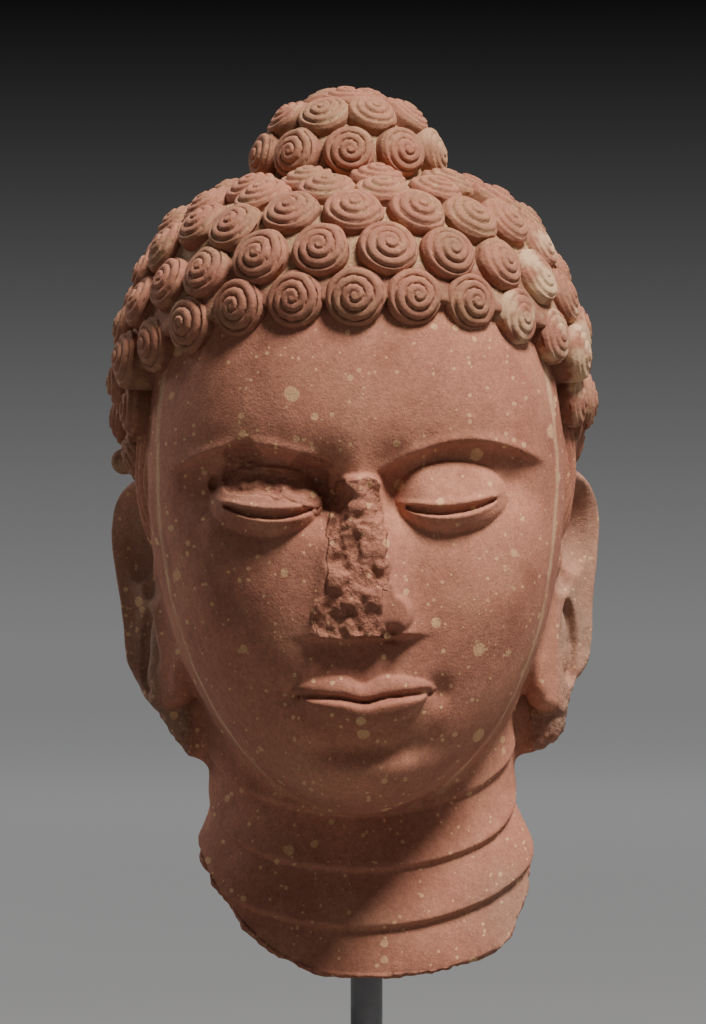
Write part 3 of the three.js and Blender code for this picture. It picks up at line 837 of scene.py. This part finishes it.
def make_curls(material):
    places = curl_places()
    numbers = np.arange(len(places))
    front = (places[:, 1] < FRONT_SPLIT_Y) | (places[:, 2] > KNOT_FOOT_Z)
    low = places[:, 2] < FRONT_SPLIT_Z
    for name, chosen in (("curls_front_low", front & low), ("curls_front_top", front & ~low)):
        curl_piece(name, places[chosen], numbers[chosen], CURL_RINGS, CURL_SPOKES, material)
    rings = int(CURL_RINGS * BACK_CURL_SHARE)
    spokes = int(CURL_SPOKES * BACK_CURL_SHARE)
    curl_piece("curls_back", places[~front], numbers[~front], rings, spokes, material)


# Materials


def srgb(red, green, blue):
    channels = [c / 255 for c in (red, green, blue)]
    return [c / 12.92 if c <= 0.04045 else ((c + 0.055) / 1.055) ** 2.4 for c in channels] + [1]


STONE_DEEP = srgb(158, 102, 82)
STONE_PALE = srgb(184, 122, 97)
STONE_PATCH = srgb(182, 128, 100)
STONE_STAIN = srgb(143, 88, 68)
HAIR_TONE = srgb(148, 99, 78)
HAIR_PATINA = srgb(150, 116, 86)
BREAK_TONE = srgb(160, 104, 82)
WEATHERED_TONE = srgb(156, 124, 104)
SPOT_TONE = srgb(212, 168, 122)
PALE_LINE_TONE = srgb(204, 162, 124)
# The dark tone of the painted shade in hollows, grooves and between the curls.
HOLLOW_SHADE_TONE = srgb(84, 54, 41)
CRUST_TONE = srgb(176, 144, 108)
WORN_TONE = srgb(212, 176, 138)
STEEL_DARK = srgb(112, 112, 113)
STEEL_LIGHT = srgb(124, 124, 124)

# Pale spots: cells to a metre, the largest radius as a share of a cell, and the share of cells left empty
SPOT_SIZES = [(80, 0.23, 0.4), (170, 0.26, 0.5), (330, 0.28, 0.56), (520, 0.3, 0.8)]
SPOT_WARP = 0.0011

# How far ahead of the rod the pale line runs, in metres
PALE_LINE_AHEAD = 0.040


class Shading:
    """Short ways to add and join the nodes of one material."""

    def __init__(self, name):
        self.material = bpy.data.materials.new(name)
        self.material.use_nodes = True
        self.nodes = self.material.node_tree.nodes
        self.links = self.material.node_tree.links
        self.surface = self.nodes["Principled BSDF"]

    def add(self, kind, inputs=(), **settings):
        node = self.nodes.new(kind)
        for key, value in settings.items():
            setattr(node, key, value)
        for key, value in dict(inputs).items():
            self.put(node.inputs[key], value)
        return node

    def put(self, socket, value):
        if isinstance(value, bpy.types.NodeSocket):
            self.links.new(value, socket)
        else:
            socket.default_value = value

    def maths(self, operation, *values):
        node = self.add("ShaderNodeMath", operation=operation)
        for socket, value in zip(node.inputs, values):
            self.put(socket, value)
        return node.outputs[0]

    def ramp(self, value, start, end, low=0.0, high=1.0, kind="SMOOTHSTEP"):
        inputs = {"Value": value, "From Min": start, "From Max": end, "To Min": low, "To Max": high}
        return self.add("ShaderNodeMapRange", inputs, interpolation_type=kind).outputs["Result"]

    def mix(self, share, low, high, blend="MIX"):
        node = self.add("ShaderNodeMix", data_type="RGBA", blend_type=blend)
        self.put(node.inputs[0], share)
        self.put(node.inputs[6], low)
        self.put(node.inputs[7], high)
        return node.outputs[2]

    def grey(self, value):
        return self.add("ShaderNodeCombineColor", {0: value, 1: value, 2: value}).outputs[0]

    def noise(self, where, scale, detail=4.0, roughness=0.55):
        inputs = {"Vector": where, "Scale": scale, "Detail": detail, "Roughness": roughness}
        return self.add("ShaderNodeTexNoise", inputs).outputs["Fac"]

    def attribute(self, name):
        return self.add("ShaderNodeAttribute", attribute_name=name).outputs["Fac"]


def pale_spots(shade, where, per_metre, radius, kept):
    """Round spots of many sizes, one to a cell at most, and only in some of the cells."""
    cells = shade.add("ShaderNodeTexVoronoi", {"Vector": where, "Scale": per_metre, "Randomness": 1.0})
    chance = shade.add("ShaderNodeSeparateColor", {"Color": cells.outputs["Color"]})
    size = shade.ramp(chance.outputs["Red"], kept, 1.0, 0.0, radius)
    near = shade.maths("DIVIDE", cells.outputs["Distance"], shade.maths("MAXIMUM", size, 0.001))
    shown = shade.maths("GREATER_THAN", chance.outputs["Red"], kept)
    return shade.maths("MULTIPLY", shade.ramp(near, 1.0, 0.8), shown)


def stone_tones(shade, where, patch, hair, broken):
    """Clouds, patches and stains of the bare stone, duller in the hair and greyer at the ears."""
    cloud = shade.noise(where, 14, 5)
    stain = shade.noise(where, 26, 6, 0.62)
    colour = shade.mix(shade.ramp(cloud, 0.35, 0.68), STONE_DEEP, STONE_PALE)
    colour = shade.mix(shade.ramp(patch, 0.42, 0.7, 0, 0.5), colour, STONE_PATCH)
    colour = shade.mix(shade.ramp(stain, 0.48, 0.66, 0, 0.5), colour, STONE_STAIN)
    colour = shade.mix(shade.maths("MULTIPLY", hair, 0.5), colour, HAIR_TONE)
    dulled = shade.maths("MULTIPLY", hair, shade.ramp(shade.noise(where, 60, 5), 0.45, 0.65, 0.0, 0.5))
    colour = shade.mix(dulled, colour, HAIR_PATINA)
    colour = shade.mix(shade.maths("MULTIPLY", broken, 0.6), colour, BREAK_TONE)
    weathered = shade.maths("MULTIPLY", shade.attribute("grey"), shade.ramp(patch, 0.3, 0.62, 0.4, 0.9))
    return shade.mix(weathered, colour, WEATHERED_TONE)


def with_spots(shade, colour, where, hair):
    """Pale spots of four sizes, a little drawn out and ragged."""
    flat = shade.add("ShaderNodeMapping", {"Vector": where, "Scale": (1.0, 0.35, 1.0)}).outputs["Vector"]
    warp = shade.add("ShaderNodeTexNoise", {"Vector": where, "Scale": 260.0, "Detail": 2.0}).outputs["Color"]
    shift = shade.add("ShaderNodeVectorMath", {0: warp, 1: (SPOT_WARP,) * 3}, operation="MULTIPLY")
    bent = shade.add("ShaderNodeVectorMath", {0: flat, 1: shift.outputs[0]}, operation="ADD").outputs[0]
    spots = 0.0
    for per_metre, radius, kept in SPOT_SIZES:
        spots = shade.maths("MAXIMUM", spots, pale_spots(shade, bent, per_metre, radius, kept))
    spots = shade.maths("MULTIPLY", spots, shade.ramp(hair, 0.2, 1.0, 0.85, 0.25))
    return shade.mix(shade.maths("MULTIPLY", spots, 0.85), colour, SPOT_TONE)


def with_pale_line(shade, colour, where, patch, hair):
    """The pale line that runs down both sides of the face and stops at the neck."""
    split = shade.add("ShaderNodeSeparateXYZ", {"Vector": where})
    wander = shade.ramp(shade.noise(where, 30, 3), 0.2, 0.8, -0.0022, 0.0022)
    off_line = shade.maths("ADD", shade.maths("ADD", split.outputs["Y"], PALE_LINE_AHEAD), wander)
    off_line = shade.maths("ABSOLUTE", off_line)
    faded = shade.ramp(patch, 0.3, 0.6, 0.25, 0.85)
    share = shade.maths("MULTIPLY", shade.ramp(off_line, 0.0036, 0.0006), faded)
    share = shade.maths("MULTIPLY", share, shade.ramp(split.outputs["Z"], 0.128, 0.15))
    share = shade.maths("MULTIPLY", share, shade.ramp(hair, 0.0, 0.5, 1.0, 0.0))
    return shade.mix(share, colour, PALE_LINE_TONE)


def with_grit(shade, colour, where, grain):
    """Specks everywhere, painted shade in the hollows, crust between the curls, and cream stone where it is
    worn.
    """
    flecks = shade.ramp(shade.noise(where, 460, 5, 0.7), 0.3, 0.7, 0.87, 1.12)
    speck = shade.maths("MULTIPLY", shade.ramp(grain, 0.3, 0.7, 0.85, 1.14), flecks)
    colour = shade.mix(1.0, colour, shade.grey(speck), "MULTIPLY")
    grit = shade.ramp(grain, 0.4, 0.56, 0.2, 0.95)
    uneven = shade.ramp(shade.noise(where, 90, 4), 0.35, 0.65, -0.55, 0.1)
    crusted = shade.maths("ADD", shade.attribute("crust"), uneven)
    crust = shade.maths("MULTIPLY", grit, shade.ramp(crusted, 0.05, 0.5))
    # Painted shade: darker where the hollow attribute says the stone is closed in.
    hollow_shade = shade.ramp(shade.attribute("hollow"), 0.25, 0.9, 0.0, 0.24)
    colour = shade.mix(hollow_shade, colour, HOLLOW_SHADE_TONE)
    colour = shade.mix(crust, colour, CRUST_TONE)
    rubbed = shade.ramp(shade.noise(where, 48, 4), 0.5, 0.6)
    cream = shade.maths("MULTIPLY", shade.ramp(shade.attribute("worn"), 0.4, 0.9), rubbed)
    return shade.mix(shade.maths("MULTIPLY", cream, 0.7), colour, WORN_TONE)


def stone_bumps(shade, where, grain, broken):
    """Fine grain and pits, and a ragged surface on the breaks."""
    cells = shade.add("ShaderNodeTexVoronoi", {"Vector": where, "Scale": 1100.0}, feature="F1")
    pits = shade.maths("MULTIPLY", cells.outputs["Distance"], 0.25)
    rough_grain = shade.maths("ADD", shade.maths("MULTIPLY", grain, 0.6), pits)
    fine = shade.add("ShaderNodeBump", {"Height": rough_grain, "Distance": 0.0005, "Strength": 0.55})
    share = shade.ramp(broken, 0.1, 0.7, 0.07, 1.0)
    ragged = shade.maths("MULTIPLY", shade.noise(where, 380, 5, 0.65), share)
    broad_inputs = {"Height": ragged, "Distance": 0.0022, "Strength": 0.8, "Normal": fine.outputs[0]}
    return shade.add("ShaderNodeBump", broad_inputs).outputs[0]


def sandstone():
    shade = Shading("sandstone")
    where = shade.add("ShaderNodeTexCoord").outputs["Object"]
    broken = shade.attribute("broken")
    hair = shade.attribute("hair")
    patch = shade.noise(where, 45, 5)
    grain = shade.noise(where, 1300, 3, 0.75)
    colour = stone_tones(shade, where, patch, hair, broken)
    colour = with_spots(shade, colour, where, hair)
    colour = with_pale_line(shade, colour, where, patch, hair)
    colour = with_grit(shade, colour, where, grain)
    shade.put(shade.surface.inputs["Base Color"], colour)
    shade.put(shade.surface.inputs["Roughness"], 0.88)
    shade.put(shade.surface.inputs["Specular IOR Level"], 0.25)
    shade.put(shade.surface.inputs["Normal"], stone_bumps(shade, where, grain, broken))
    return shade.material


def painted_steel(name):
    shade = Shading(name)
    where = shade.add("ShaderNodeTexCoord").outputs["Object"]
    tone = shade.ramp(shade.noise(where, 120, 3), 0.3, 0.7)
    shade.put(shade.surface.inputs["Base Color"], shade.mix(tone, STEEL_DARK, STEEL_LIGHT))
    shade.put(shade.surface.inputs["Roughness"], shade.ramp(shade.noise(where, 400, 3), 0.2, 0.8, 0.36, 0.5))
    shade.put(shade.surface.inputs["Metallic"], 0.4)
    return shade.material


# The stand


def stand_piece(name, mesh, material, node):
    mesh.materials.append(material)
    piece = bpy.data.objects.new(name, mesh)
    bpy.context.scene.collection.objects.link(piece)
    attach(piece, "root")
    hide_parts(node)
    return piece


def make_rod(material):
    low, high = (Vector(c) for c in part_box("rod"))
    work = bmesh.new()
    radius = (high.x - low.x) / 2
    bmesh.ops.create_cone(
        work, cap_ends=True, segments=72, radius1=radius, radius2=radius, depth=high.z - low.z,
        matrix=Matrix.Translation((low + high) / 2),
    )
    mesh = bpy.data.meshes.new("rod_bar")
    work.to_mesh(mesh)
    work.free()
    for polygon in mesh.polygons:
        polygon.use_smooth = len(polygon.vertices) == 4
    stand_piece("rod_bar", mesh, material, "rod")


def make_foot(material):
    low, high = (Vector(c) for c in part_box("foot"))
    work = bmesh.new()
    bmesh.ops.create_cube(work, size=1)
    bmesh.ops.scale(work, vec=high - low, verts=work.verts)
    bmesh.ops.translate(work, vec=(low + high) / 2, verts=work.verts)
    bmesh.ops.bevel(work, geom=work.edges[:], offset=0.0015, segments=4, profile=0.5, affect="EDGES")
    mesh = bpy.data.meshes.new("foot_plate")
    work.to_mesh(mesh)
    work.free()
    stand_piece("foot_plate", mesh, material, "foot")


# The studio

MM_PER_PIXEL = 0.344
PHOTO_WIDTH = 706
PHOTO_HEIGHT = 1024
TOP_PIXEL_ROW = 87
AXIS_PIXEL_COLUMN = 366.5
CAMERA_AZIMUTH_DEG = -0.8
CAMERA_DISTANCE = 1.8
FLOOR_RINGS = [0.02, 1.5, 4.0]
FLOOR_REACH = 7.5
FLOOR_PALE = 0.185
FLOOR_FADE = (1.0, 5.0)
WALL_BEND = 1.5
WALL_BEND_STEPS = 24
WALL_HEIGHT = 4.0
WALL_SIDES = 96
# Painted light on the backdrop: a glow that falls from GLOW's first value at the floor to its second at
# DARK_HEIGHT, and comes in over GLOW_FADE.
DARK_HEIGHT = 1.34
GLOW_FADE = (0.5, 2.6)
GLOW = (0.378, 0.028)
GLOW_POWER = 1.6
LIGHT_AIM = (0, 0, 0.23)
SKY_COLOUR = (0.68, 0.83, 1.0, 1)
SKY_STRENGTH = 0.11


def make_camera():
    data = bpy.data.cameras.new("camera")
    data.sensor_fit = "VERTICAL"
    data.sensor_height = 36
    data.lens = 36 * CAMERA_DISTANCE / (PHOTO_HEIGHT * MM_PER_PIXEL * MM)
    camera = bpy.data.objects.new("camera", data)
    bpy.context.scene.collection.objects.link(camera)
    azimuth = math.radians(CAMERA_AZIMUTH_DEG)
    right = Vector((math.cos(azimuth), math.sin(azimuth), 0))
    back = Vector((math.sin(azimuth), -math.cos(azimuth), 0))
    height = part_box("head")[1][2] - (PHOTO_HEIGHT / 2 - TOP_PIXEL_ROW) * MM_PER_PIXEL * MM
    aside = (PHOTO_WIDTH / 2 - AXIS_PIXEL_COLUMN) * MM_PER_PIXEL * MM
    camera.location = right * aside + back * CAMERA_DISTANCE + Vector((0, 0, height))
    camera.rotation_euler = (math.pi / 2, 0, azimuth)
    bpy.context.scene.camera = camera


def make_light(name, place, size, power, colour=(1, 1, 1)):
    data = bpy.data.lights.new(name, "AREA")
    data.shape = "DISK"
    data.size = size
    data.energy = power
    data.color = colour
    light = bpy.data.objects.new(name, data)
    light.location = place
    aim = Vector(LIGHT_AIM) - Vector(place)
    light.rotation_euler = aim.to_track_quat("-Z", "Y").to_euler()
    bpy.context.scene.collection.objects.link(light)


def make_studio():
    """A round floor, wider than any view stands off, that curves up into a wall, darker above by painted
    light.

    Far from the lights it glows a little, a painted light that dims with height, so that its grey holds all
    the way to the wall.
    """
    bend = np.linspace(0, math.pi / 2, WALL_BEND_STEPS)
    profile = [(r, 0.0) for r in FLOOR_RINGS]
    profile += [(FLOOR_REACH + WALL_BEND * math.sin(a), WALL_BEND * (1 - math.cos(a))) for a in bend]
    profile.append((FLOOR_REACH + WALL_BEND, WALL_HEIGHT))
    turns = np.linspace(0, 2 * math.pi, WALL_SIDES, endpoint=False)
    corners = [(r * math.cos(t), r * math.sin(t), z) for r, z in profile for t in turns]
    index = np.arange(len(corners)).reshape(len(profile), WALL_SIDES)
    ahead = np.roll(index, -1, axis=1)
    faces = np.stack([index[:-1], ahead[:-1], ahead[1:], index[1:]], axis=-1).reshape(-1, 4).tolist()
    faces.append(index[0].tolist())
    sweep = bpy.data.objects.new("sweep", mesh_from("sweep", np.array(corners), faces))
    bpy.context.scene.collection.objects.link(sweep)
    shade = Shading("pale_floor")
    where = shade.add("ShaderNodeTexCoord").outputs["Object"]
    height = shade.add("ShaderNodeSeparateXYZ", {"Vector": where}).outputs["Z"]
    reach = shade.add("ShaderNodeVectorMath", {0: where}, operation="LENGTH").outputs["Value"]
    near = shade.ramp(reach, *FLOOR_FADE, FLOOR_PALE, 0.0)
    shade.put(shade.surface.inputs["Base Color"], shade.grey(near))
    # Painted light: far out, the floor and wall glow instead of being lit, less with height, so the wall is
    # darker above.
    lit = shade.maths("POWER", shade.ramp(height, 0.0, DARK_HEIGHT, *GLOW, kind="LINEAR"), GLOW_POWER)
    glow = shade.maths("MULTIPLY", lit, shade.ramp(reach, *GLOW_FADE))
    shade.put(shade.surface.inputs["Emission Color"], (1, 1, 1, 1))
    shade.put(shade.surface.inputs["Emission Strength"], glow)
    shade.put(shade.surface.inputs["Roughness"], 0.9)
    shade.put(shade.surface.inputs["Specular IOR Level"], 0.0)
    sweep.data.materials.append(shade.material)

    world = bpy.context.scene.world or bpy.data.worlds.new("world")
    bpy.context.scene.world = world
    world.use_nodes = True
    background = world.node_tree.nodes["Background"]
    background.inputs["Color"].default_value = SKY_COLOUR
    background.inputs["Strength"].default_value = SKY_STRENGTH
    make_light("key", (0.83, -0.79, 2.43), 0.75, 131, (1.0, 0.97, 0.94))
    make_light("fill", (-1.6, -1.4, 0.6), 1.2, 0.8)
    make_light("back_left", (-1.15, 1.05, 1.1), 0.5, 10)
    make_light("right", (1.5, 0.35, 1.0), 0.5, 4)


stone_material = sandstone()
make_stone(stone_material)
make_curls(stone_material)
make_rod(painted_steel("rod_paint"))
make_foot(painted_steel("foot_paint"))
make_camera()
make_studio()
